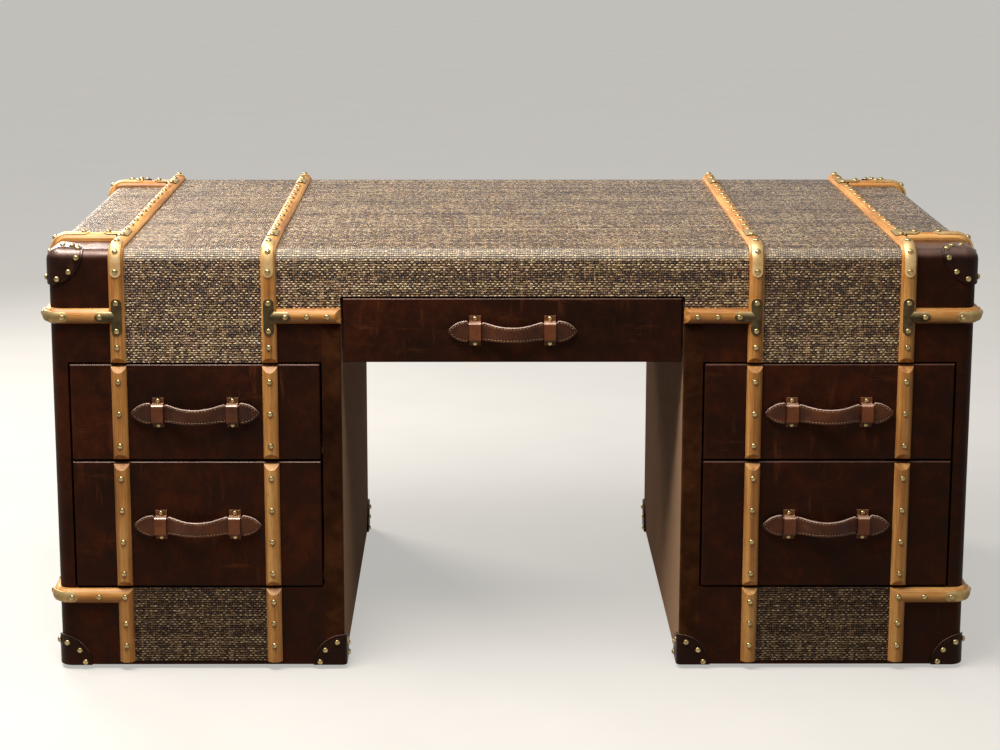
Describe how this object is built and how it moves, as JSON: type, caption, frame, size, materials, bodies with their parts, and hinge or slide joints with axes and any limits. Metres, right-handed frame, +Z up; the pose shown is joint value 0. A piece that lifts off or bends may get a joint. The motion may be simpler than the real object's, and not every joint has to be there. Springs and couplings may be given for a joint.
{
  "type": "trunk-style kneehole desk",
  "caption": "Kneehole desk covered in dark leather and woven matting, with bent half-round battens, metal straps, corner caps, sliding drawers and leather strap handles.",
  "frame": {"origin": "on the floor, in the middle of the whole desk's footprint", "axes": "+X to the right as seen from the drawer side, +Y to the back, +Z up; the drawers face -Y"},
  "size_m": [1.6394, 0.8436, 0.7767],
  "materials": {
    "hide": "waxed, worn",
    "cap_hide": "tooled, waxed",
    "handle_hide": "stitched, waxed",
    "batten_wood": "oiled",
    "drawer_wood": "raw",
    "matting": "basket weave",
    "bronze": "aged, dull",
    "glide": "matte"
  },
  "bodies": {
    "carcass": {"desk_top": "hide", "left_outer_panel": "hide", "right_outer_panel": "hide", "left_inner_panel": "hide", "right_inner_panel": "hide", "left_top_rail": "hide", "right_top_rail": "hide", "left_plinth_board": "hide", "right_plinth_board": "hide", "left_back_panel": "hide", "right_back_panel": "hide", "base_boards": "drawer_wood", "centre_rail": "hide", "rear_apron": "hide", "drawer_runners": "drawer_wood", "foot_glides": "glide", "centre_matting": "matting", "side_mattings": "matting", "end_mattings": "matting", "plinth_mattings": "matting", "outer_left_batten": "batten_wood", "outer_right_batten": "batten_wood", "inner_left_batten": "batten_wood", "inner_right_batten": "batten_wood", "rear_battens": "batten_wood", "plinth_battens": "batten_wood", "end_battens": "batten_wood", "upper_belts": "batten_wood", "inner_belts": "batten_wood", "lower_belts": "batten_wood", "bend_straps": "bronze", "belt_corner_straps": "bronze", "tee_straps": "bronze", "top_corner_caps": "cap_hide", "foot_corner_caps": "cap_hide"},
    "lower_left_drawer": {"lower_left_drawer_front": "hide", "lower_left_drawer_box": "drawer_wood", "lower_left_drawer_battens": "batten_wood", "lower_left_handle_loops": "handle_hide"},
    "lower_left_handle": {"lower_left_handle_strap": "handle_hide"},
    "lower_right_drawer": {"lower_right_drawer_front": "hide", "lower_right_drawer_box": "drawer_wood", "lower_right_drawer_battens": "batten_wood", "lower_right_handle_loops": "handle_hide"},
    "lower_right_handle": {"lower_right_handle_strap": "handle_hide"},
    "upper_left_drawer": {"upper_left_drawer_front": "hide", "upper_left_drawer_box": "drawer_wood", "upper_left_drawer_battens": "batten_wood", "upper_left_handle_loops": "handle_hide"},
    "upper_left_handle": {"upper_left_handle_strap": "handle_hide"},
    "upper_right_drawer": {"upper_right_drawer_front": "hide", "upper_right_drawer_box": "drawer_wood", "upper_right_drawer_battens": "batten_wood", "upper_right_handle_loops": "handle_hide"},
    "upper_right_handle": {"upper_right_handle_strap": "handle_hide"},
    "centre_drawer": {"centre_drawer_front": "hide", "centre_drawer_box": "drawer_wood", "centre_handle_loops": "handle_hide"},
    "centre_handle": {"centre_handle_strap": "handle_hide"}
  },
  "joints": [
    {"name": "lower_left_drawer_slide", "type": "slide", "parent": "carcass", "child": "lower_left_drawer", "axis": [0, -1, 0], "range_m": [0, 0.42]},
    {"name": "lower_left_handle_lift", "type": "hinge", "parent": "lower_left_drawer", "child": "lower_left_handle", "pos_m": [-0.55125, -0.40285, 0.2695], "axis": [-1, 0, 0], "range_deg": [0, 10]},
    {"name": "lower_right_drawer_slide", "type": "slide", "parent": "carcass", "child": "lower_right_drawer", "axis": [0, -1, 0], "range_m": [0, 0.42]},
    {"name": "lower_right_handle_lift", "type": "hinge", "parent": "lower_right_drawer", "child": "lower_right_handle", "pos_m": [0.55125, -0.40285, 0.2695], "axis": [-1, 0, 0], "range_deg": [0, 10]},
    {"name": "upper_left_drawer_slide", "type": "slide", "parent": "carcass", "child": "upper_left_drawer", "axis": [0, -1, 0], "range_m": [0, 0.42]},
    {"name": "upper_left_handle_lift", "type": "hinge", "parent": "upper_left_drawer", "child": "upper_left_handle", "pos_m": [-0.55125, -0.40285, 0.4735], "axis": [-1, 0, 0], "range_deg": [0, 10]},
    {"name": "upper_right_drawer_slide", "type": "slide", "parent": "carcass", "child": "upper_right_drawer", "axis": [0, -1, 0], "range_m": [0, 0.42]},
    {"name": "upper_right_handle_lift", "type": "hinge", "parent": "upper_right_drawer", "child": "upper_right_handle", "pos_m": [0.55125, -0.40285, 0.4735], "axis": [-1, 0, 0], "range_deg": [0, 10]},
    {"name": "centre_drawer_slide", "type": "slide", "parent": "carcass", "child": "centre_drawer", "axis": [0, -1, 0], "range_m": [0, 0.35]},
    {"name": "centre_handle_lift", "type": "hinge", "parent": "centre_drawer", "child": "centre_handle", "pos_m": [0, -0.40285, 0.62], "axis": [-1, 0, 0], "range_deg": [0, 10]}
  ]
}
